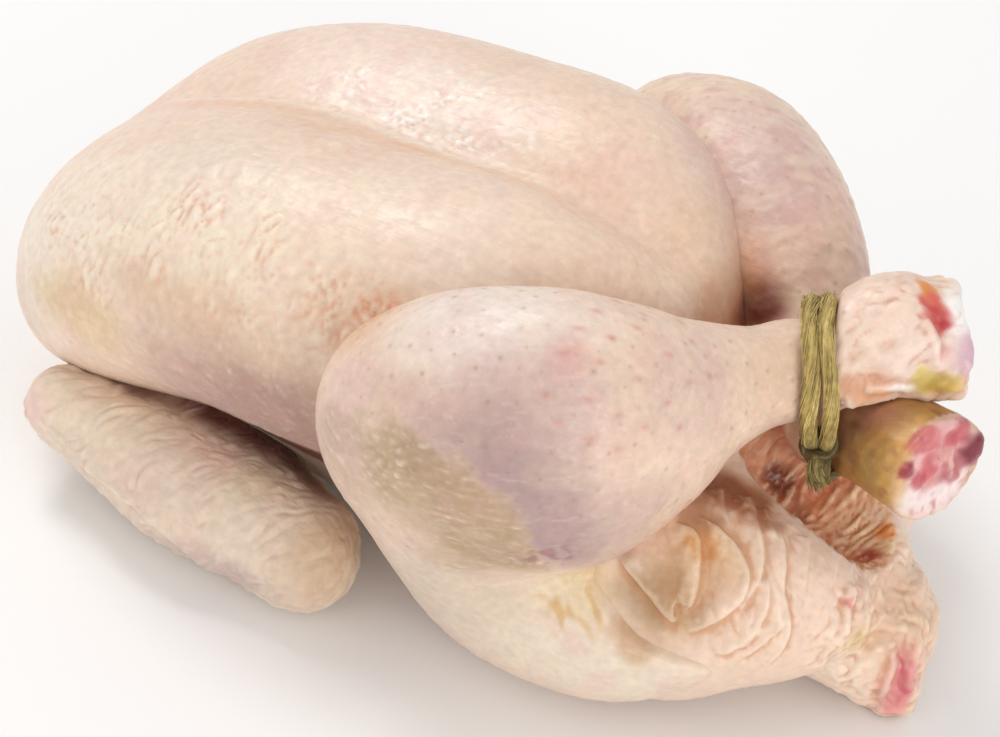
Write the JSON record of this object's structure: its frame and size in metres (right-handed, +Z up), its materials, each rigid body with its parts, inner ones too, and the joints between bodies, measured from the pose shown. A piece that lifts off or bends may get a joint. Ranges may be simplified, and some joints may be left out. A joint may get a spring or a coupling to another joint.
{
  "type": "whole raw chicken",
  "caption": "Whole raw oven-ready chicken lying on its back, wings folded in, crossed legs tied at the ankles with a loop of twine.",
  "frame": {"origin": "middle of the bottom face of the bounding box, on the surface the bird rests on", "axes": "+X from the neck end to the tail and the tied legs, +Y to the bird's far side, +Z up out of the breast"},
  "size_m": [0.2506, 0.175, 0.1135],
  "materials": {
    "skin": "moist satin raw poultry skin, cream to peach with mauve and pink areas",
    "twine": "dry twisted straw-coloured jute"
  },
  "bodies": {
    "root": {"chicken": "skin", "twine": "twine"}
  },
  "joints": []
}
